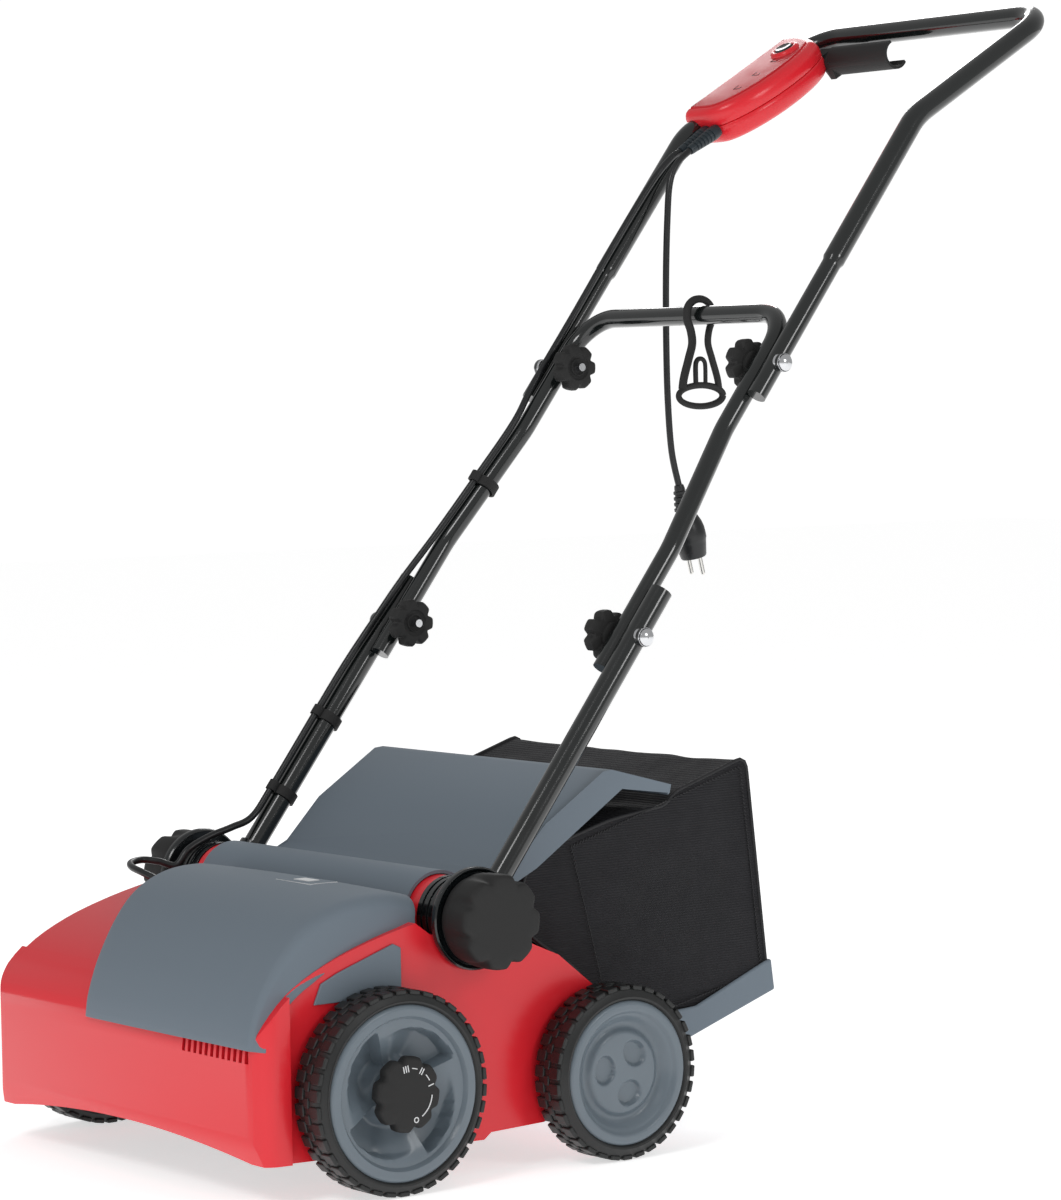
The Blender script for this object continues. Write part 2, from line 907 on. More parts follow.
# ---- wheels ----
@dataclass
class Wheel:
    """A wheel on an axis along X: tyre, tread lugs and a moulded rim.

    Attributes:
        side: the side it is on.
        word: front or rear.
        y: place of its axis, from the front axle.
        radius: radius of the tread.
        rim: radius of the rim.
        width: width of the tyre.
        lugs: lugs in one row of the tread.
    """

    side: Side
    word: str
    y: float
    radius: float
    rim: float
    width: float
    lugs: int
    inner: float = 0.226

    @property
    def body(self) -> str:
        """The body that it rides on."""
        return f"{self.word}_wheel_{self.side.word}"

    def place(self, d: float, r: float, a: float) -> Vector:
        """Puts a point at a distance out from the inner face."""
        return at(self.side.value * (self.inner + d), self.y + r * math.cos(a), self.radius + r * math.sin(a))

    def tyre(self) -> None:
        """Builds the carcass with its shoulders and the lugs on it."""
        r, w, b = self.radius - 0.0018, self.width, self.rim
        profile = [(0.003, b - 0.003), (0.0012, b + 0.002), (0.0006, r - 0.007), (0.003, r - 0.0022),
                   (0.007, r),
                   (w / 2, r + 0.0004), (w - 0.007, r), (w - 0.003, r - 0.0022), (w - 0.0002, r - 0.008),
                   (w + 0.0006, b + 0.004), (w + 0.0002, b + 0.0022), (w - 0.0015, b + 0.0008),
                   (w - 0.004, b - 0.003)]
        carcass = new_piece(f"{self.word}_carcass_{self.side.word}", *turned(profile, self.place, 128),
                            TYRE_RUBBER)
        tree = GeoTree(f"{self.word}_tread_{self.side.word}", {
            "Lugs": self.lugs, "Radius": self.radius - 0.0022, "Lug height": 0.0022,
            "Shoulder": self.side.value * (self.inner + w - 0.0085),
            "Inner": self.side.value * (self.inner + 0.0085), "Middle": self.side.value * (self.inner
                    + w / 2 - 0.0005)})
        n = tree.inputs
        pitch = 2 * math.pi * self.radius / self.lugs
        rows = []
        for key, wide, share, shift in (("Shoulder", 0.0132, 0.72, 0.0), ("Middle", 0.0076, 0.6, 0.5),
                                        ("Inner", 0.0132, 0.72, 0.0)):
            size = tree.graph.node("ShaderNodeCombineXYZ", {},
                                   {0: wide, 1: pitch * share, 2: n["Lug height"] * 2.0})
            block = tree.graph.node("GeometryNodeMeshCube", {}, {"Size": size})
            rows.append(ring_of(tree, block, n["Lugs"], self.y, self.radius, n[key], n["Radius"],
                                shift * 2 * math.pi / self.lugs))
        both = tree.graph.tree.nodes.new("GeometryNodeJoinGeometry")
        for row in rows:
            tree.graph.tree.links.new(row.socket, both.inputs[0])
        lugs = tree.bake(f"{self.word}_lugs_{self.side.word}", Wire(tree.graph, both.outputs[0]), TYRE_RUBBER)
        stands_for(carcass, self.body, f"{self.word}_tyre_{self.side.word}")
        stands_for(bevelled(lugs, 0.0011, 2), self.body)

    def depth(self, r: float, a: float) -> float:
        """How far the rim's face lies inside the tyre's face."""
        return 0.0

    def rim_face(self, finish: Finish, hole: float) -> None:
        """Builds the rim from its relief.

        Args:
            finish: what it is covered with.
            hole: radius left open for the hub.
        """
        steps, n = 46, 192
        rows: list[Row] = []
        radii = [hole + (self.rim - 0.001 - hole) * i / steps for i in range(steps + 1)]
        for r in radii:
            rows.append([self.place(self.width + 0.0008 - self.depth(r, 2 * math.pi * k / n), r,
                                    2 * math.pi * k / n) for k in range(n)])
        for d, r in ((self.width - 0.002, self.rim + 0.0006), (self.width - 0.006, self.rim - 0.0026),
                     (0.005, self.rim - 0.003),
                     (0.004, self.rim - 0.007), (self.width * 0.3, hole + 0.012), (self.width * 0.3, hole)):
            rows.append([self.place(d, r, 2 * math.pi * k / n) for k in range(n)])
        obj = new_piece(f"{self.word}_rim_face_{self.side.word}", *skin(rows, ring=True, loop=True), finish,
                        50.0)
        stands_for(obj, self.body, f"{self.word}_rim_{self.side.word}")

    def build(self) -> None:
        """Builds the whole wheel."""
        self.tyre()
        self.rim_face(GREY_RIM, 0.012)


@dataclass
class FrontWheel(Wheel):
    """The front wheel, with four swirled hollows round its depth knob."""

    def depth(self, r: float, a: float) -> float:
        """The dish with four hollows, each sharp at one end and running out at the other.

        Args:
            r: distance from the axis.
            a: angle round it.

        Returns:
            The depth.
        """
        flange = 0.0042 * ease(self.rim - 0.0095, self.rim - 0.0125, r) + 0.0012 * ease(self.rim - 0.003,
                self.rim, r)
        dish = flange + 0.013 * ease(self.rim - 0.012, 0.022, r)
        turn = (a * self.side.value - 0.35) % (math.pi / 2) / (math.pi / 2)
        reach = 0.0625 - 0.010 * turn * turn
        sharp = ease(0.05, 0.085, turn) * (1 - ease(0.45, 0.95, turn))
        return dish + 0.015 * sharp * (1 - ease(reach - 0.0030, reach, r)) * ease(0.022, 0.034, r)


@dataclass
class RearWheel(Wheel):
    """The rear wheel: a closed dish with three oval dimples."""

    def depth(self, r: float, a: float) -> float:
        """The dish with its dimples.

        Args:
            r: distance from the axis.
            a: angle round it.

        Returns:
            The depth.
        """
        flange = 0.004 * ease(self.rim - 0.0085, self.rim - 0.0115, r) + 0.001 * ease(self.rim - 0.003,
                self.rim, r)
        dish = flange + 0.0085 * ease(self.rim - 0.011, self.rim - 0.022, r) - 0.0045 * ease(0.042, 0.036, r)
        dimple = 0.0
        for k in range(3):
            c = 2 * math.pi * k / 3 + 0.87
            u, v = r * math.cos(a - c) - 0.021, r * math.sin(a - c)
            dimple += 0.0048 * (1 - ease(0.80, 1.02, math.hypot(u / 0.0115, v / 0.0140)))
        return dish + dimple

    def build(self) -> None:
        """Builds the wheel with its closed middle, and its half of the axle."""
        self.tyre()
        self.rim_face(GREY_RIM, 0.0002)
        end = self.inner + self.width * 0.3 - 0.002
        rod = [(0.0, 0.0), (0.0, 0.005), (end - 0.001, 0.005), (end, 0.004), (end, 0.0)]
        profile = [(self.side.value * d, r) for d, r in rod]
        axle = new_piece(f"rear_axle_{self.side.word}_half",
                         *turned(profile, about_x(self.y, self.radius), 32, closed=False), STEEL)
        stands_for(axle, "chassis", "rear_axle")


@dataclass
class DepthKnob:
    """The star knob that sets the working depth, on its cranked axle."""

    side: Side
    radius: float = 0.034
    face: float = 0.274

    def place(self, u: float, v: float, h: float) -> Vector:
        """Puts an outline point at a height out from the wheel."""
        return at(self.side.value * h, u, 0.0915 + v)

    def marks(self) -> bpy.types.Object:
        """Builds the depth scale: strokes for one to three, a ring for nought and an arc."""
        parts: list[bpy.types.Object] = []
        h = self.face + 0.0002

        def bar(r: float, a: float, turn: float, long: float, wide: float) -> None:
            """Adds one stroke at a radius and an angle.

            Args:
                r: distance from the axis.
                a: angle round it.
                turn: which way the stroke points.
                long: its length.
                wide: its width.
            """
            c = Vector((r * math.cos(a), r * math.sin(a)))
            u = Vector((math.cos(turn), math.sin(turn))) * (long / 2)
            v = Vector((-u.y, u.x)).normalized() * (wide / 2)
            ring = [c + u + v, c - u + v, c - u - v, c + u - v]
            rows = [[self.place(p.x, p.y, h + lift) for p in ring] for lift in (-0.0004, 0.0003)]
            parts.append(new_piece(f"mark_{len(parts)}", *skin(rows, ring=True, caps=True), MARK_WHITE))

        def band(r: float, a0: float, a1: float, wide: float,
                 around: tuple[float, float] = (0.0, 0.0)) -> None:
            """Adds part of a ring.

            Args:
                r: radius of the ring.
                a0: its first angle.
                a1: its last angle.
                wide: its width.
                around: the ring's centre.
            """
            n = 18
            rows = []
            for i in range(n + 1):
                a = a0 + (a1 - a0) * i / n
                ring = [(r + k * wide, lift) for k,
                        lift in ((-0.5, -0.0004), (0.5, -0.0004), (0.5, 0.0003), (-0.5, 0.0003))]
                rows.append([self.place(around[0] + q * math.cos(a), around[1] + q * math.sin(a),
                                        h + lift) for q, lift in ring])
            parts.append(new_piece(f"mark_{len(parts)}", *skin(rows, ring=True, caps=True), MARK_WHITE))

        for count, deg in ((3, 100.0), (2, 57.0), (1, 16.0)):
            a = math.radians(deg)
            for k in range(count):
                shift = (k - (count - 1) / 2) * 0.0024
                bar(0.0235, a + shift / 0.0235, a, 0.0060, 0.0009)
            if count > 1:
                band(0.0235, a - 0.52, a - 0.16 - 0.04 * count, 0.0008)
        band(0.0235, -1.02, -0.10, 0.0009)
        zero = (0.0235 * math.cos(-1.31), 0.0235 * math.sin(-1.31))
        band(0.0022, 0, 2 * math.pi, 0.0009, zero)
        return joined(f"depth_marks_{self.side.word}", parts)

    def build(self) -> None:
        """Builds the knob with its grip hollows and its scale."""
        def outline(r: float, deep: float) -> Outline:
            """The lobed outline at one level."""
            return lobed(r, 8, deep, 0.27, turn=0.2)

        x = self.face
        levels = [(outline(0.017, 0.0), x - 0.020), (outline(0.018, 0.0), x - 0.013),
                  (outline(0.0315, 0.0036), x - 0.0125),
                  (outline(0.0335, 0.004), x - 0.011), (outline(0.034, 0.0042), x - 0.0055),
                  (outline(0.0335, 0.0042), x - 0.0025),
                  (outline(0.0318, 0.0038), x - 0.0006), (outline(0.030, 0.0034), x),
                  (outline(0.012, 0.0), x + 0.0001), (outline(0.001, 0.0), x + 0.0001)]
        knob = new_piece(f"depth_knob_star_{self.side.word}", *stacked(levels, self.place), BLACK_GRAINED)
        body = f"depth_{self.side.word}"
        stands_for(knob, body, f"depth_knob_{self.side.word}")
        stands_for(self.marks(), body)


# ---- housing ----
@dataclass
class Shell:
    """The red housing, the grey covers and the badge plate on them."""

    half: float = 0.222
    near: float = 0.215
    rear_far: float = -0.128
    front_far: float = -0.058
    wall: float = 0.003

    @property
    def line(self) -> list[tuple[float, float]]:
        """Points of the top line, as y and z."""
        knots = [(0.060, 0.2555, 0), (0.030, 0.2615, 0), (-0.014, 0.2595, 0), (-0.055, 0.2465, 0),
                 (-0.086, 0.2235, 0),
                 (-0.113, 0.1905, 0), (-0.1285, 0.160, 0), (-0.1335, 0.1385, 0)]
        return [(p.x, p.y) for p in evenly(smooth_line(knots, 8), 41)]

    def shell_height(self, y: float) -> float:
        """Height of the red shell's top line at y.

        Args:
            y: the place, from the front axle.

        Returns:
            The height.
        """
        knots = [(-0.130, 0.128), (-0.124, 0.152), (-0.095, 0.183), (-0.052, 0.206), (0.0, 0.223),
                 (0.056, 0.236), (0.07, 0.236)]
        for (a, p), (b, q) in zip(knots, knots[1:]):
            if y <= b:
                return p + (q - p) * max(0.0, (y - a) / (b - a))
        return knots[-1][1]

    def depth_to_shell(self, y: float, z: float, out: Vector) -> float:
        """How far below a point of the top line the red shell starts.

        Args:
            y: the point's place.
            z: the point's height.
            out: the top line's outward direction there.

        Returns:
            The distance, at most 55 mm.
        """
        for k in range(110):
            d = 0.0005 * k
            if z - out.y * d <= self.shell_height(y - out.x * d):
                return d
        return 0.055

    def motor_cover(self) -> None:
        """Builds the motor cover: a domed top that rolls over into its side wall."""
        line = self.line
        n = len(line) - 1
        rows: list[Row] = []
        outs = []
        for i in range(n + 1):
            a, b = line[max(i - 1, 0)], line[min(i + 1, n)]
            way = Vector((b[0] - a[0], b[1] - a[1])).normalized()
            side = Vector((way.y, -way.x))
            outs.append(side if side.y > 0 or abs(side.y) < 0.3 and side.x < 0 else -side)
        depths = [self.depth_to_shell(y, z, outs[i]) for i, (y, z) in enumerate(line)]
        for _ in range(3):
            near = [depths[max(0, i - 2): i + 3] for i in range(n + 1)]
            depths = [max(depths[i], sum(near[i]) / len(near[i])) for i in range(n + 1)]
        for i, (y, z) in enumerate(line):
            v = i / n
            out = outs[i]
            far = self.rear_far + (self.front_far - self.rear_far) * ease(-0.15, 1.05, v)
            gap = depths[i] + 0.0035
            skirt = gap + 0.003
            lip = 0.0045 * ease(0.93, 1.0, v)
            across = [(far, gap), (far + 0.0004, gap * 0.5), (far + 0.0022, 0.0028), (far + 0.006, 0.0006)]
            across += [(far + 0.010 + (0.178 - far - 0.010) * k / 14,
                        -0.0018 * math.sin(math.pi * k / 14)) for k in range(15)]
            edge = self.near + 0.0125 * v
            roll = min(0.006 + 0.014 * (1 - v), max(0.0008, depths[i] - 0.0025))
            top = edge - 0.012 - 0.018 * (1 - v)
            for k in range(1, 8):
                t = math.pi / 2 * k / 7
                across.append((top + (edge - 0.006 - top) * math.sin(t), roll * (1 - math.cos(t))))
            across += [(edge - 0.0035, roll + (skirt - roll) * 0.45), (edge, max(skirt, roll + 0.002))]
            rows.append([at(x, y - out.x * d, z - out.y * d - (lip if 0.02 < d else 0.0)) for x, d in across])
        obj = new_piece("motor_cover_hood", *skin(rows), GREY_COVER, 46.0)
        stands_for(bevelled(thickened(obj, self.wall), 0.0009, 2, 50.0), "chassis", "motor_cover")

    def shape_nose(self, shell: bpy.types.Object) -> None:
        """Rounds the nose in plan and arches its lower lip.

        Args:
            shell: the housing.
        """
        corner, wide, tip = 0.024, 0.236, -0.1305
        plan = [(wide, 0.36), (-wide, 0.36)]
        for side in (-1, 1):
            turns = [math.pi / 2 * k / 10 for k in range(11)]
            arc = [(side * (0.2305 - corner * (1 - math.cos(a))),
                    tip + corner * (1 - math.sin(a))) for a in turns]
            bend = [(side * wide, tip + corner + 0.05), *arc]
            plan += bend if side < 0 else bend[::-1]
        rows = [[at(x, y, z) for x, y in plan] for z in (-0.01, 0.42)]
        carved(shell, new_piece("nose_plan", *skin(rows, ring=True, caps=True), RED_SHELL), "INTERSECT")
        spans = [-0.205 + 0.41 * k / 24 for k in range(25)]
        lip = [(x, 0.036 + 0.014 * (1 - (x / 0.205) ** 2)) for x in spans]
        outline = [(-0.205, 0.0), *lip, (0.205, 0.0)]
        rows = [[at(x, y, z) for x, z in outline] for y in (-0.150, -0.088)]
        carved(shell, new_piece("lip_arch", *skin(rows, ring=True, caps=True), RED_SHELL), "DIFFERENCE")

    def badge(self) -> None:
        """Builds the plain badge: a thin outlined lozenge with a blank plate."""
        def plate(name: str, grow: float, lift: float, finish: Finish) -> bpy.types.Object:
            """One four-cornered plate that follows the hood.

            Args:
                name: the plate's name.
                grow: size, as a share of the outline.
                lift: height above the hood.
                finish: what it is covered with.

            Returns:
                The plate.
            """
            corners = [(0.062, 0.004), (0.118, 0.004), (0.118, 0.034), (0.062, 0.034)]
            mid = Vector((0.090, 0.019))
            rows = []
            for up in (-0.0006, lift):
                ring = []
                for x, y in corners:
                    q = mid + (Vector((x, y)) - mid) * grow
                    ring.append(at(q.x, q.y, self.top_at(q.y) + 0.0016 + up))
                rows.append(ring)
            return new_piece(name, *skin(rows, ring=True, caps=True), finish)

        pieces = [plate("badge_outline", 1.0, 0.0004, MARK_WHITE),
                  plate("badge_field", 0.95, 0.0006, GREY_COVER),
                  plate("badge_blank", 0.42, 0.0009, MARK_WHITE)]
        for piece in pieces:
            stands_for(piece, "chassis")

    def top_at(self, y: float) -> float:
        """Height of the hood's top line at y.

        Args:
            y: the place, from the front axle.

        Returns:
            The height.
        """
        line = sorted(self.line)
        for (a, p), (b, q) in zip(line, line[1:]):
            if y <= b:
                return p + (q - p) * (y - a) / (b - a)
        return line[-1][1]

    def build(self) -> None:
        """Builds the shell and its covers."""
        refined("housing", RED_SHELL, "chassis", 0.0045, 4, "housing_shell", cuts=self.shape_nose)
        self.motor_cover()
        self.badge()
        refined("belt_cover", GREY_COVER, "chassis", 0.0008, 2, "belt_cover_panel")
        refined("bridge_cover", GREY_COVER, "chassis", 0.0012, 2, "bridge_cover_arch")
        keep(BLACK_GRAINED, "rotor_deck")


@dataclass
class Rotor:
    """The scarifying rotor with its drive."""

    y: float = -0.037
    z: float = 0.092
    tube: float = 0.018
    reach: float = 0.080
    discs: int = 12

    def tines(self) -> None:
        """Builds the claws: pairs of pointed blades on sleeves, each turned from the last."""
        for turn in (0, 1):
            tree = GeoTree(f"claw_row_{turn}",
                           {"Claws": self.discs // 2, "Pitch": 0.0581818, "First": -0.160 + turn * 0.0290909,
                                                "Tube": self.tube, "Reach": self.reach})
            n, g = tree.inputs, tree.graph
            wide = g.node("ShaderNodeCombineXYZ", {}, {0: -0.009, 1: n["Tube"], 2: 0.0})
            back = g.node("ShaderNodeCombineXYZ", {}, {0: -0.0125, 1: n["Reach"] - 0.003, 2: 0.0})
            knee = g.node("ShaderNodeCombineXYZ", {}, {0: -0.001, 1: n["Reach"] - 0.020, 2: 0.0})
            foot = g.node("ShaderNodeCombineXYZ", {}, {0: 0.008, 1: n["Tube"], 2: 0.0})
            corner = g.node("GeometryNodeCurvePrimitiveQuadrilateral", {"mode": "POINTS"},
                            {"Point 1": wide, "Point 2": back, "Point 3": knee, "Point 4": foot})
            sheet = g.node("GeometryNodeFillCurve", {}, {"Curve": corner})
            blade = g.node("GeometryNodeExtrudeMesh", {},
                           {"Mesh": sheet, "Offset": (0.0, 0.0, 1.0), "Offset Scale": 0.005,
                            "Individual": False})
            base = g.tree.nodes.new("GeometryNodeJoinGeometry")
            g.tree.links.new(blade.socket, base.inputs[0])
            flipped = g.node("GeometryNodeFlipFaces", {}, {0: sheet})
            g.tree.links.new(flipped.socket, base.inputs[0])
            claw = g.node("GeometryNodeTransform", {},
                          {0: Wire(g, base.outputs[0]), "Translation": (-0.0025, 0.0, 0.0),
                                                             "Rotation": (math.pi / 2, 0.0, math.pi / 2)})
            pair = g.tree.nodes.new("GeometryNodeJoinGeometry")
            other = g.node("GeometryNodeTransform", {},
                           {0: claw, "Rotation": (math.pi, 0.0, 0.0), "Scale": (1.0, 1.0, 1.0)})
            for part in (claw, other):
                g.tree.links.new(part.socket, pair.inputs[0])
            start = g.node("ShaderNodeCombineXYZ", {}, {0: n["First"], 1: self.y + NOSE_TO_AXLE, 2: self.z})
            step = g.node("ShaderNodeCombineXYZ", {}, {0: n["Pitch"], 1: 0.0, 2: 0.0})
            row = g.node("GeometryNodeMeshLine", {"mode": "OFFSET"},
                         {"Count": n["Claws"], "Start Location": start, "Offset": step})
            spin = (math.radians(8 + 90 * turn), 0.0, 0.0)
            laid = g.node("GeometryNodeInstanceOnPoints", {},
                          {"Points": row, "Instance": Wire(g, pair.outputs[0]), "Rotation": spin})
            claws = tree.bake(f"claws_{turn}", laid, TINE_STEEL, 25.0)
            stands_for(bevelled(claws, 0.0006, 2), "rotor", *(("spring_tines",) if turn else ()))
        step = 2 * 0.160 / (self.discs - 1)
        parts = []
        for k in range(self.discs):
            x = -0.160 + k * step
            ring = [(x - 0.006, 0.018), (x - 0.006, 0.0222), (x - 0.0052, 0.023), (x + 0.0052, 0.023),
                    (x + 0.006, 0.0222), (x + 0.006, 0.018)]
            parts.append(new_piece(f"sleeve_{k}", *turned(ring, about_x(self.y, self.z), 40), TINE_STEEL))
        stands_for(joined("claw_sleeves", parts), "rotor")

    def build(self) -> None:
        """Builds the rotor and dresses its drive."""
        self.tines()
        keep(STEEL, "rotor_shaft", "rotor_bearings", "motor_shaft", "motor_pulley", "rotor_pulley")
        keep(MOTOR_CAN, "motor")
        keep(BELT_RUBBER, "drive_belt")


# ---- hubs and handle ----
@dataclass
class Hub:
    """One folding hub: ribbed drum, dished washer and its big knob."""

    side: Side
    out: float = 0.2223
    radius: float = 0.043

    def place(self, u: float, v: float, h: float) -> Vector:
        """Puts an outline point at a distance from the centre plane."""
        return at(self.side.value * h, HUB[0] + u, HUB[1] + v)

    def knob(self) -> None:
        """Builds the dish and the knob with its eight scooped finger hollows."""
        x = self.out
        turn = about_x(*HUB)
        dish = [(x, 0.006), (x, 0.0445), (x + 0.0015, 0.0462), (x + 0.004, 0.047), (x + 0.0075, 0.0466),
                (x + 0.0088, 0.0452),
                (x + 0.0080, 0.0436), (x + 0.0058, 0.042), (x + 0.0052, 0.030), (x + 0.0100, 0.026),
                (x + 0.0100, 0.006)]
        rows = [(self.side.value * d, r) for d, r in dish]
        rim = new_piece(f"hub_dish_{self.side.word}", *turned(rows, turn, 112), BLACK_GLOSS)

        def level(r: float, deep: float) -> Outline:
            """The lobed outline at one level."""
            return lobed(r, 8, deep, 0.28, 192, turn=0.3)

        heights = [(0.024, 0.0, 0.0072), (0.034, 0.0, 0.0080), (0.0395, 0.0002, 0.0088),
                   (0.0415, 0.0006, 0.013), (0.0425, 0.0012, 0.022),
                   (0.043, 0.0030, 0.033), (0.043, 0.0046, 0.0420), (0.0424, 0.0052, 0.0455),
                   (0.0408, 0.0050, 0.0475),
                   (0.0388, 0.0046, 0.0482), (0.030, 0.001, 0.0484), (0.012, 0.0, 0.0485),
                   (0.0005, 0.0, 0.0485)]
        levels = [(level(r, deep), x + h) for r, deep, h in heights]
        knob = new_piece(f"hub_knob_star_{self.side.word}", *stacked(levels, self.place), BLACK_GRAINED, 60.0)
        body = f"hub_knob_{self.side.word}_body"
        stands_for(knob, body, f"hub_knob_{self.side.word}")
        stands_for(rim, body)

    def build(self) -> None:
        """Builds the hub."""
        refined(f"hub_drum_{self.side.word}", BLACK_GLOSS, "lower_handle", 0.0009, 2)
        self.knob()


@dataclass
class StarKnob:
    """A seven-lobed knob on a joint's carriage bolt."""

    side: Side
    level: str
    x: float
    s: float
    body: str
    radius: float = 0.024

    def build(self) -> None:
        """Builds the knob with its raised middle and the bolt's end."""
        def place(u: float, v: float, h: float) -> Vector:
            """Puts an outline point at a depth from the tube."""
            p = on_handle(self.side.value * (self.x - h), self.s)
            return p + Vector((0, u, v))

        heights = [(0.011, 0.0, 0.0), (0.0122, 0.0, 0.0004), (0.0122, 0.0, 0.0046), (0.0215, 0.004, 0.0052),
                   (0.0236, 0.0056, 0.0064),
                   (0.024, 0.006, 0.010), (0.0238, 0.006, 0.0165), (0.0224, 0.0054, 0.019),
                   (0.0205, 0.0048, 0.0198), (0.0135, 0.0, 0.0198),
                   (0.0125, 0.0, 0.0186), (0.0092, 0.0, 0.0184), (0.0088, 0.0, 0.0198),
                   (0.0082, 0.0, 0.020), (0.0066, 0.0, 0.0180), (0.0046, 0.0, 0.0178)]
        levels = [(lobed(r, 7, deep * 0.85, 0.30, 140, turn=0.4), place_h) for r, deep, place_h in heights]
        levels += [(lobed(0.00405, 7, 0.0, 0.2, 140), 0.0178), (lobed(0.00405, 7, 0.0, 0.2, 140), 0.0)]
        rows = [[place(u, v, h) for u, v in outline] for outline, h in levels]
        node = f"{self.level}_knob_{self.side.word}"
        knob = new_piece(f"{node}_star", *skin(rows, ring=True, loop=True), BLACK_GRAINED, 50.0)
        stands_for(knob, self.body, node)


@dataclass
class Handle:
    """The tubular handle with its bolts, knobs, clips and cord hook."""

    corner: float = 0.042

    def tube(self, name: str, path: list[Vector], radius: Callable[[float], float], body: str,
             *nodes: str) -> None:
        """Bends one tube along a path, with rings set close where its width changes.

        Args:
            name: the piece's name.
            path: the centreline.
            radius: the tube's radius at a distance from its start.
            body: the body that it rides on.
            nodes: the CAD nodes that it stands for.
        """
        long = length_of(path)
        line = evenly(path, max(24, int(long / 0.004)))
        stands_for(new_piece(name, *pipe(line, lambda t: radius(t * long), 28), TUBE_COAT, 60.0), body,
                   *nodes)

    def tubes(self) -> None:
        """Builds the lower tubes, the middle frame and the push bar."""
        for side in Side:
            x = side.value * 0.202
            self.tube(f"lower_leg_{side.word}", [on_handle(x, 0.030), on_handle(x, 0.372)], lambda d: 0.011,
                      "lower_handle",
                      f"lower_tube_{side.word}")

        def mirrored(half: list[tuple[Vector, float]]) -> list[tuple[Vector, float]]:
            """Both halves of a symmetrical run of corners."""
            return half + [(Vector((-p.x, p.y, p.z)), r) for p, r in reversed(half)]

        frame_half = [(on_handle(0.1805, 0.282), 0.0), (on_handle(0.1805, 0.420), 0.09),
                      (on_handle(0.159, 0.560), 0.09),
                      (on_handle(0.159, 0.702), self.corner)]
        self.tube("middle_hoop", filleted(mirrored(frame_half)), lambda d: 0.0095, "middle_handle",
                  "middle_frame")
        top = on_grip(0.0, 0.214, 0.0)
        bar_half = [(on_handle(0.179, 0.600), 0.0), (on_handle(0.179, 0.945), 0.070),
                    (Vector((0.179, top.y, top.z)), self.corner)]
        path = filleted(mirrored(bar_half))
        long = length_of(path)
        self.tube("push_bar_tube", path, lambda d: 0.0095 + 0.0015 * ease(0.161, 0.165, min(d, long - d)),
                  "upper_handle", "push_bar")

    def hook(self) -> None:
        """Builds the cord hook: a rod bent into an eight round the cross bar, with a tongue."""
        middle = on_handle(0.0, 0.702)

        def rod(points: Sequence[tuple[float, float]], radius: float) -> bpy.types.Object:
            """One bent rod in the hook's plane."""
            line = smooth_line([middle + Vector((0.020, u, v)) for u, v in points], 8)
            return new_piece("hook_rod", *pipe(line, lambda t: radius, 14, 0.85), BLACK_GRAINED, 60.0)

        up = [(-0.0235, -0.073), (-0.0215, -0.062), (-0.0150, -0.043), (-0.0102, -0.028), (-0.0118, -0.015),
              (-0.0160, -0.004),
              (-0.0150, 0.008), (-0.0085, 0.0145)]
        loop = up + [(0.0, 0.0165)] + [(-u, v) for u, v in reversed(up)]
        turns = [2 * math.pi * k / 24 for k in range(25)]
        oval = [(0.0285 * math.cos(a), -0.080 + 0.0105 * math.sin(a)) for a in turns]
        tongue = [(-0.0062, -0.068), (-0.0062, -0.050), (-0.0040, -0.0445), (0.0, -0.0430),
                  (0.0040, -0.0445), (0.0062, -0.050), (0.0062, -0.068)]
        parts = [rod(loop, 0.0042), rod(oval, 0.0036), rod(tongue, 0.0026)]
        stands_for(joined("cord_hook_loop", parts), "hook_body", "cord_hook")

    def build(self) -> None:
        """Dresses the tubes and builds the knobs."""
        self.tubes()
        self.hook()
        keep(BRIGHT_ZINC, "lower_joint_bolts", "upper_joint_bolts")
        keep(BLACK_GRAINED, "cable_clips", "middle_clip")
        keep(STEEL, "hub_bolts", "depth_axle_right", "depth_axle_left", "flap_pin", "flap_spring")
        for side in Side:
            StarKnob(side, "lower", 0.1707, 0.320, f"lower_knob_{side.word}_body").build()
            StarKnob(side, "upper", 0.1492, 0.640, f"upper_knob_{side.word}_body").build()
            for s, x, level, body in ((0.320, 0.202, "lower", "lower_handle"),
                                      (0.640, 0.179, "upper", "upper_handle")):
                reach = 0.011 if level == "lower" else 0.0095
                way = Vector((side.value, 0, 0))
                collar = [(reach - 0.003, 0.0045), (reach - 0.003, 0.0088), (reach + 0.0035, 0.0092),
                          (reach + 0.0050, 0.0086), (reach + 0.0051, 0.0045)]
                start = on_handle(side.value * x, s)
                spacer = new_piece(f"{level}_spacer_{side.word}",
                                   *turned(collar, about_line(start, way), 48), BLACK_GLOSS)
                stands_for(spacer, body)


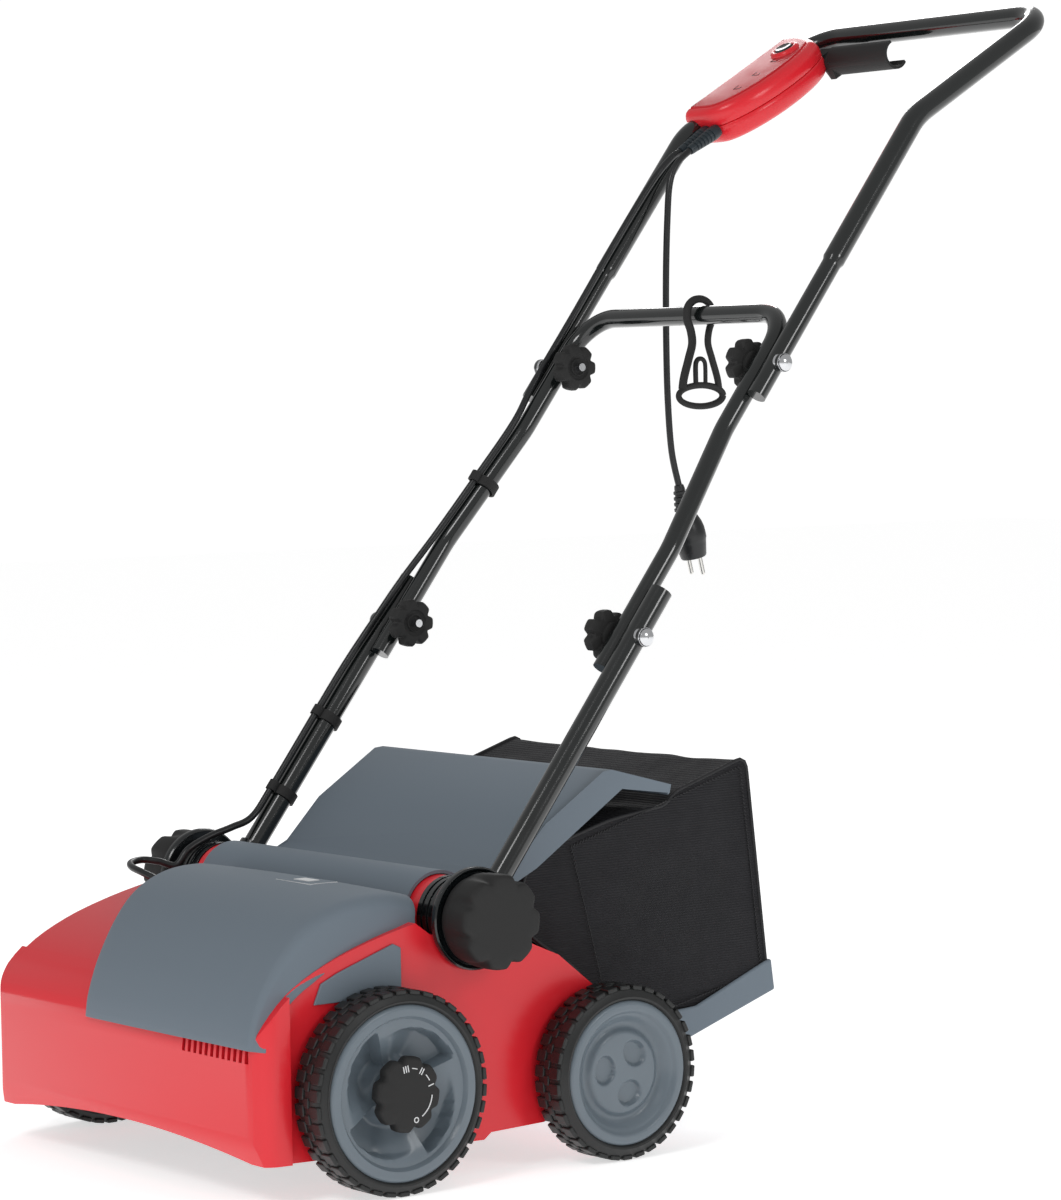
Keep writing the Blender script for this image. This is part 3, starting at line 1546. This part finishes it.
# ---- switch box ----
@dataclass
class SwitchBox:
    """The red switch box on the push bar, with its button, lever and strain reliefs."""

    inner: float = -0.014
    reach: float = 0.066
    start: float = 0.016
    end: float = 0.186
    half: float = 0.022

    def plan(self, grow: float = 0.0) -> Outline:
        """The box' outline seen from above, rounded at its corners.

        Args:
            grow: how far it grows outwards.

        Returns:
            The outline, as distance across and up the slope.
        """
        mid, run = (self.start + self.end) / 2, (self.end - self.start) / 2
        knots: list[tuple[float, float]] = [(self.inner, self.start + 0.010),
                                            (self.inner + 0.004, self.start + 0.002), (0.006, self.start),
                                            (0.030, self.start)]
        for k in range(1, 12):
            a = math.radians(-80 + 150 * k / 12)
            knots.append((0.026 + 0.044 * math.cos(a), mid + run * math.sin(a)))
        knots += [(0.020, self.end), (0.0, self.end), (self.inner + 0.004, self.end - 0.003),
                  (self.inner, self.end - 0.012), (self.inner, mid)]
        ring = smooth_line([(x, y, 0) for x, y in knots + knots[:1]], 6)[:-1]
        outline = [(p.x, p.y) for p in evenly(ring + ring[:1], 121)[:-1]]
        return inset(outline, -grow) if grow else outline

    def build(self) -> None:
        """Builds both halves, the button's ring, the marks and the lever's finish."""
        def shell(name: str, steps: Sequence[tuple[float, float]], node: str, finish: Finish) -> None:
            """Builds one half from pairs of inset and height.

            Args:
                name: the half's name.
                steps: pairs of inset and height.
                node: the CAD node that it stands for.
                finish: what it is covered with.
            """
            base = self.plan()
            levels = [(inset(base, by) if by else base, h) for by, h in steps]
            obj = new_piece(name, *stacked(levels, lambda u, v, h: on_grip(u, v, h)), finish, 50.0)
            stands_for(obj, "upper_handle", node)

        top = [(0.0006, 0.0004), (0.0, 0.0010), (-0.0006, 0.006), (-0.0004, 0.011), (0.0008, 0.0150),
               (0.0026, 0.0180),
               (0.0052, 0.0198), (0.0080, 0.0205), (0.0092, 0.0204)]
        low = [(0.0006, -0.0004), (0.0, -0.0010), (-0.0006, -0.006), (0.0004, -0.011), (0.0030, -0.0165),
               (0.0065, -0.0200),
               (0.0110, -0.0218), (0.0135, -0.0222)]
        shell("switch_box_upper", top, "switch_case_top", RED_SHELL)
        shell("switch_box_lower", low, "switch_case_bottom", RED_SHELL)
        base = self.plan()
        lid = [(inset(base, 0.0094), 0.0200), (inset(base, 0.0094), 0.0214), (inset(base, 0.0102), 0.0219),
               (inset(base, 0.0112), 0.0220)]
        plate = new_piece("switch_box_plate", *stacked(lid, lambda u, v, h: on_grip(u, v, h)), RED_FLAT, 50.0)
        stands_for(plate, "upper_handle")
        ring = [(0.017, 0.0102), (0.017, 0.0165), (0.0215, 0.0164), (0.0245, 0.0155), (0.0256, 0.0140),
                (0.0258, 0.0122), (0.0250, 0.0106), (0.0240, 0.0102)]
        up = (on_grip(0.0, 0.0, 1.0) - on_grip(0.0, 0.0, 0.0)).normalized()
        base_point = on_grip(0.030, 0.145, 0.0)
        collar = new_piece("button_ring", *turned(ring, about_line(base_point, up), 64), RED_SHELL, 50.0)
        stands_for(collar, "upper_handle")
        face = [(0.010, 0.0), (0.010, 0.0098), (0.0262, 0.0098), (0.0272, 0.0090), (0.0268, 0.0070),
                (0.0262, 0.0030), (0.0260, 0.0)]
        button = new_piece("lock_button_cap", *turned(face, about_line(base_point, up), 64, closed=False),
                           BLACK_GLOSS, 50.0)
        stands_for(button, "button_body", "lock_button")
        self.marks()
        refined("switch_lever", BLACK_GRAINED, "lever_body", 0.0016, 3, "switch_lever_paddle")
        keep(BLACK_GRAINED, "micro_switch")

    def marks(self) -> None:
        """Builds three small square recesses' frames along the plate."""
        parts = []
        for k, s in enumerate((0.060, 0.090, 0.120)):
            for j, (dx, ds, wx, ws) in enumerate(((0.0, 0.0, 0.009, 0.0012),
                                                  (-0.0045, 0.004, 0.0012, 0.008),
                                                  (0.0045, 0.002, 0.0012, 0.004))):
                c = (0.036 + dx, s + ds)
                ring = [(c[0] - wx / 2, c[1] - ws / 2), (c[0] + wx / 2, c[1] - ws / 2),
                        (c[0] + wx / 2, c[1] + ws / 2), (c[0] - wx / 2, c[1] + ws / 2)]
                rows = [[on_grip(u, v, h) for u, v in ring] for h in (0.0212, 0.02215)]
                parts.append(new_piece(f"catch_{k}_{j}", *skin(rows, ring=True, caps=True), BLACK_GRAINED))
        stands_for(joined("box_catch_marks", parts), "upper_handle")


# ---- cords ----
@dataclass
class Cords:
    """The mains lead with its plug, and the motor cable along the handle."""

    diameter: float = 0.007
    relief: float = 0.040

    def gland(self, name: str, x: float) -> None:
        """Builds one tapered strain relief with its slots.

        Args:
            name: the piece's name.
            x: its place across.
        """
        start = on_grip(x, 0.012, -0.003)
        way = on_grip(x, 0.0, -0.003) - on_grip(x, 0.012, -0.003)
        profile = [(-0.004, 0.0035), (-0.004, 0.0068), (0.0, 0.0075), (0.004, 0.0076)]
        for k in range(6):
            d = 0.007 + 0.0048 * k
            r = 0.0074 - 0.0004 * k
            profile += [(d, r), (d + 0.0004, r - 0.0009), (d + 0.0018, r - 0.0009), (d + 0.0022, r - 0.0001)]
        profile += [(0.0380, 0.0050), (0.0400, 0.0046), (0.0400, 0.0035)]
        obj = new_piece(name, *turned(profile, about_line(start, way), 48), GLAND_RUBBER, 40.0)
        stands_for(obj, "upper_handle", *(("cable_glands",) if name.startswith("mains") else ()))

    def mains(self) -> None:
        """Builds the hanging lead and its plug."""
        exit_point = on_grip(0.034, 0.012 - self.relief, -0.003)
        route = [exit_point] + [at(-0.145, y, z) for y, z in (
            (0.660, 0.939), (0.650, 0.918), (0.646, 0.880), (0.643, 0.820), (0.642, 0.750), (0.643, 0.690),
                                                              (0.647, 0.639), (0.656, 0.603))]
        line = smooth_line(route, 12)
        lead = new_piece("mains_lead", *pipe(line, lambda t: self.diameter / 2, 16), CORD_SHEATH, 60.0)
        stands_for(lead, "upper_handle", "mains_cord")
        way = Vector((0.0, math.sin(math.radians(14)), -math.cos(math.radians(14))))
        profile = [(-0.001, 0.0034), (-0.001, 0.0048), (0.003, 0.0056)]
        for k in range(4):
            d, r = 0.005 + 0.006 * k, 0.0072 + 0.0009 * k
            profile += [(d, r - 0.0016), (d + 0.0006, r), (d + 0.0032, r + 0.0002), (d + 0.0038, r - 0.0012)]
        profile += [(0.0295, 0.0100), (0.034, 0.0128), (0.041, 0.0158), (0.047, 0.0172), (0.052, 0.0175),
                    (0.0585, 0.0175), (0.060, 0.0168),
                    (0.064, 0.0160), (0.0765, 0.0138), (0.078, 0.0128), (0.078, 0.0004)]
        top = at(-0.145, 0.656, 0.603)
        body = new_piece("plug_grip", *turned(profile, about_line(top, way), 64, closed=False), CORD_SHEATH,
                         40.0)
        stands_for(body, "upper_handle", "plug_body")
        keep(PIN_NICKEL, "plug_pins")
        self.lead, self.plug = lead, body
        length_of(line)

    def motor_cable(self) -> None:
        """Builds the held cable in three stretches that bend with the handle's joints."""
        route = [(0.161, 0.905, -0.013), (0.163, 0.870, -0.017), (0.165, 0.800, -0.017),
                 (0.166, 0.700, -0.015), (0.165, 0.610, -0.015),
                 (0.161, 0.560, -0.014), (0.170, 0.490, -0.014), (0.181, 0.420, -0.014),
                 (0.190, 0.360, -0.016), (0.195, 0.320, -0.016),
                 (0.201, 0.260, -0.016), (0.202, 0.200, -0.016), (0.202, 0.110, -0.016),
                 (0.202, 0.072, -0.018), (0.202, 0.050, -0.032),
                 (0.203, 0.030, -0.047), (0.204, 0.006, -0.060), (0.206, -0.014, -0.062)]
        loop = [(-0.214, 0.050, 0.253), (-0.222, 0.036, 0.255), (-0.216, 0.020, 0.254),
                (-0.198, 0.010, 0.252), (-0.176, 0.010, 0.248),
                (-0.158, 0.018, 0.240), (-0.150, 0.026, 0.228), (-0.150, 0.026, 0.215)]
        points = [on_grip(0.019, 0.012 - self.relief, -0.003)] + [on_handle(-x, s, k) for x, s,
                                                                  k in route] + [at(*p) for p in loop]
        cuts = (0, 7, 12, len(points) - 1)
        spans = (("middle_handle", "upper_handle", 0.600, 0.680),
                 ("lower_handle", "middle_handle", 0.270, 0.370), ("chassis", "lower_handle", 0.0, 0.0))
        line = smooth_line(points, 10)
        for k, (low, high, s0, s1) in enumerate(spans):
            part = line[cuts[k] * 10: cuts[k + 1] * 10 + 1]
            obj = new_piece(f"motor_cable_{k}", *pipe(part, lambda t: self.diameter / 2, 16), CORD_SHEATH,
                            60.0)
            start, end = on_handle(-0.17, s0), on_handle(-0.17, s1)
            if k == 2:
                start, end = at(-0.216, 0.036, 0.253), on_handle(-0.202, 0.050, -0.030)
            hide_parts("motor_cable")
            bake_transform(obj)
            log.info("%s bends between %s and %s", obj.name, low, high)

    def build(self) -> None:
        """Builds the strain reliefs and both cords."""
        self.gland("mains_relief", 0.034)
        self.gland("cable_relief", 0.019)
        self.mains()
        self.motor_cable()


# ---- bag and flap ----
@dataclass
class CatchBag:
    """The woven catch bag on its frame and base tray."""

    half: float = 0.180
    around: int = 150

    @property
    def outline(self) -> Outline:
        """The bag's side outline, as y and z."""
        return [(0.288, 0.092), (0.388, 0.098), (0.492, 0.132), (0.468, 0.352), (0.380, 0.324),
                (0.368, 0.312), (0.300, 0.303), (0.238, 0.286),
                (0.200, 0.262), (0.192, 0.215), (0.215, 0.196), (0.262, 0.165)]

    def ring(self) -> list[Vector]:
        """The outline with eased corners, evenly spaced."""
        pts, n = self.outline, len(self.outline)
        out: list[Vector] = []
        for i in range(n):
            a, b, c = (Vector((*pts[(i + k) % n], 0)) for k in (-1, 0, 1))
            cut = min(0.012, (b - a).length * 0.4, (c - b).length * 0.4)
            p, q = b + (a - b).normalized() * cut, b + (c - b).normalized() * cut
            out += [p.lerp(b, t).lerp(b.lerp(q, t), t) for t in (0.0, 0.25, 0.5, 0.75, 1.0)]
        return evenly(out + out[:1], self.around + 1)[:-1]

    def fabric(self) -> None:
        """Builds the fabric shell with slack between its seams, and its weave map."""
        ring = self.ring()
        centre = sum(ring, Vector()) / len(ring)
        xs = [-1.0 + 2.0 * k / 60 for k in range(61)]
        rows: list[Row] = []

        def slack(p: Vector, hold: float) -> float:
            """How far the fabric sinks or lifts at a point."""
            soft = noise.noise(Vector((p.x * 9, p.y * 9, p.z * 14))) + 0.5 * noise.noise(Vector((p.x * 26,
                    p.y * 22, p.z * 30 + 4)))
            return (0.0035 * soft - 0.003) * hold

        for e in (0.10, 0.3, 0.5, 0.7, 0.86, 0.95, 0.985):
            rows.append([self.side_point(ring[k], centre, -1, e, slack) for k in range(self.around)])
        for t in xs:
            hold = math.sin(math.pi * (t + 1) / 2) ** 0.5 if abs(t) < 1 else 0.0
            row = []
            for p in ring:
                out = Vector((0, p.x - centre.x, p.y - centre.y)).normalized()
                q = at(t * self.half, p.x, p.y)
                row.append(q + out * slack(q, hold))
            rows.append(row)
        for e in (0.985, 0.95, 0.86, 0.7, 0.5, 0.3, 0.10):
            rows.append([self.side_point(ring[k], centre, 1, e, slack) for k in range(self.around)])
        verts, faces = skin(rows, ring=True)
        n = self.around
        faces += [tuple(range(n)), tuple((len(rows) - 1) * n + k for k in reversed(range(n)))]
        mouth = at(0, 0.252, 0.262)
        kept = []
        for f in faces:
            mid = sum((verts[k] for k in f), Vector()) / len(f)
            front = mid.y < mouth.y and mid.z < mouth.z and abs(mid.x) < self.half - 0.010 and len(f) == 4
            if not front:
                kept.append(f)
        obj = new_piece("bag_cloth", verts, kept, BAG_WEAVE, 60.0)
        weave = obj.data.uv_layers.new(name="Weave")
        for loop in obj.data.loops:
            p = obj.data.vertices[loop.vertex_index].co
            end = abs(abs(p.x) - self.half) < 0.006
            weave.data[loop.index].uv = ((p.y if end else p.x), p.z + (0.0 if end else 0.2 * p.y))
        stands_for(thickened(obj, 0.0018), "bag_body", "bag_fabric")

    def side_point(self, p: Vector, centre: Vector, side: int, e: float,
                   slack: Callable[[Vector, float], float]) -> Vector:
        """A point of an end panel, drawn in towards its centre and slightly bulged.

        Args:
            p: a point of the side outline.
            centre: the outline's centre.
            side: -1 or 1.
            e: share of the way out from the centre.
            slack: how far the fabric sinks or lifts.

        Returns:
            The point in the frame.
        """
        q = centre.lerp(p, e)
        hold = math.sin(math.pi * e) ** 0.6 if 0 < e < 1 else 0.0
        place = at(side * self.half, q.x, q.y)
        return place + Vector((side, 0, 0)) * (slack(place, hold) + 0.002 * hold)

    def piping(self) -> None:
        """Builds the piped seams round both end panels and the stitches beside them."""
        ring = [at(0, p.x, p.y) for p in self.ring()]
        parts = []
        for side in (-1, 1):
            line = [p + Vector((side * (self.half - 0.0005), 0, 0)) for p in ring]
            rows: list[Row] = []
            for i, p in enumerate(line):
                w = (line[(i + 1) % len(line)] - line[i - 1]).normalized()
                u = Vector((1, 0, 0))
                v = w.cross(u)
                turns = (2 * math.pi * k / 8 for k in range(8))
                rows.append([p + (u * math.cos(a) + v * math.sin(a)) * 0.0019 for a in turns])
            parts.append(new_piece(f"piping_{side}", *skin(rows, ring=True, loop=True), BAG_PIPING, 60.0))
        stands_for(joined("bag_seam_piping", parts), "bag_body")
        tree = GeoTree("bag_stitches", {"Stitches": 210, "Length": 0.0032, "Thickness": 0.0009})
        g, n = tree.graph, tree.inputs
        joiner = g.tree.nodes.new("GeometryNodeJoinGeometry")
        size = g.node("ShaderNodeCombineXYZ", {}, {0: n["Thickness"], 1: n["Thickness"], 2: n["Length"]})
        for side in (-1, 1):
            run = g.node("GeometryNodeCurvePrimitiveQuadrilateral", {"mode": "POINTS"}, {
                f"Point {k + 1}": at(side * (self.half + 0.0012), y, z) for k,
                        (y, z) in enumerate(((0.300, 0.104), (0.483, 0.143), (0.460, 0.342),
                                             (0.254, 0.282)))})
            points = g.node("GeometryNodeCurveToPoints", {"mode": "COUNT"},
                            {"Curve": run, "Count": n["Stitches"]})
            turn = Wire(g, points.socket.node.outputs[3])
            thread = g.node("GeometryNodeMeshCube", {}, {"Size": size})
            laid = g.node("GeometryNodeInstanceOnPoints", {},
                          {"Points": points, "Instance": thread, "Rotation": turn})
            g.tree.links.new(laid.socket, joiner.inputs[0])
        stitches = tree.bake("bag_side_stitches", Wire(g, joiner.outputs[0]), BAG_PIPING)
        stands_for(stitches, "bag_body")

    def build(self) -> None:
        """Builds the bag."""
        self.fabric()
        self.piping()
        keep(BLACK_GRAINED, "bag_frame")
        refined("bag_base", GREY_COVER, "bag_body", 0.0035, 3, "bag_tray")


@dataclass
class RearFlap:
    """The sprung grey flap over the bag's mouth."""

    def build(self) -> None:
        """Builds the flap with rounded folds."""
        refined("rear_flap", GREY_COVER, "flap_body", 0.0022, 3, "rear_flap_plate")


# ---- studio ----
@dataclass
class Studio:
    """Pale floor, soft lights and the camera."""

    eye: tuple[float, float, float] = (3.1860, -2.44365, 0.7110)
    azimuth: float = 52.9
    down: float = 3.0
    roll: float = -1.0
    lens: float = 123.0

    def camera(self) -> None:
        """Sets the camera."""
        a, e, r = (math.radians(v) for v in (self.azimuth, self.down, self.roll))
        ahead = Vector((-math.sin(a) * math.cos(e), math.cos(a) * math.cos(e), -math.sin(e)))
        right = ahead.cross(Vector((0, 0, 1))).normalized()
        up = right.cross(ahead)
        right, up = right * math.cos(r) + up * math.sin(r), up * math.cos(r) - right * math.sin(r)
        data = bpy.data.cameras.new("camera")
        data.lens, data.sensor_width = self.lens, 36.0
        obj = bpy.data.objects.new("camera", data)
        bpy.context.scene.collection.objects.link(obj)
        obj.matrix_world = Matrix((right, up, -ahead)).transposed().to_4x4()
        obj.location = self.eye
        data.clip_end = 100.0
        bpy.context.scene.camera = obj

    def light(self, name: str, place: tuple[float, float, float], size: float, power: float) -> None:
        """Adds a soft lamp that faces the machine.

        Args:
            name: the lamp's name.
            place: where it stands.
            size: its diameter.
            power: its power in watts.
        """
        data = bpy.data.lights.new(name, "AREA")
        data.shape, data.size, data.energy = "DISK", size, power
        obj = bpy.data.objects.new(name, data)
        bpy.context.scene.collection.objects.link(obj)
        obj.location = place
        obj.rotation_euler = (Vector((0, 0, 0.4)) - Vector(place)).to_track_quat("-Z", "Y").to_euler()

    def build(self) -> None:
        """Builds floor, sky and lamps."""
        self.camera()
        world = bpy.data.worlds.new("studio")
        bpy.context.scene.world = world
        world.use_nodes = True
        graph = Graph(world.node_tree)
        seen = graph.node("ShaderNodeLightPath")
        sky = graph.node("ShaderNodeBackground", {},
                         {"Color": (1.0, 1.0, 1.0, 1.0), "Strength": seen * 0.62 + 0.42})
        graph.node("ShaderNodeOutputWorld", {}, {"Surface": sky})
        rows = [[Vector((x, y, -0.0006)) for x in (-12, 12)] for y in (-12, 12)]
        floor = bpy.data.meshes.new("floor")
        verts, faces = skin(rows)
        floor.from_pydata([tuple(v) for v in verts], [], faces)
        obj = bpy.data.objects.new("floor", floor)
        bpy.context.scene.collection.objects.link(obj)
        pale = bpy.data.materials.new("floor_white")
        pale.use_nodes = True
        shader = pale.node_tree.nodes["Principled BSDF"]
        shader.inputs["Base Color"].default_value = (0.93, 0.93, 0.93, 1)
        shader.inputs["Roughness"].default_value = 0.9
        shader.inputs["Emission Color"].default_value = (1.0, 1.0, 1.0, 1)
        shader.inputs["Emission Strength"].default_value = 0.60
        floor.materials.append(pale)
        bpy.context.scene.view_settings.view_transform = "Standard"
        self.light("key", (1.2, -2.8, 2.9), 1.3, 30.0)
        self.light("side", (3.2, 0.6, 1.7), 0.9, 13.0)
        self.light("back", (-2.4, 2.2, 2.4), 1.4, 24.0)


def main() -> None:
    """Builds the machine, piece by piece, in its studio."""
    logging.basicConfig(level=logging.INFO, format="%(message)s")
    Studio().build()
    Cords().build()
    Shell().build()
    Rotor().build()
    for side in Side:
        FrontWheel(side, "front", 0.0, 0.0915, 0.078, 0.040, 38).build()
        RearWheel(side, "rear", 0.252, 0.0805, 0.066, 0.038, 34).build()
        DepthKnob(side).build()
        Hub(side).build()
    Handle().build()
    SwitchBox().build()
    CatchBag().build()
    RearFlap().build()


if __name__ == "__main__":
    main()
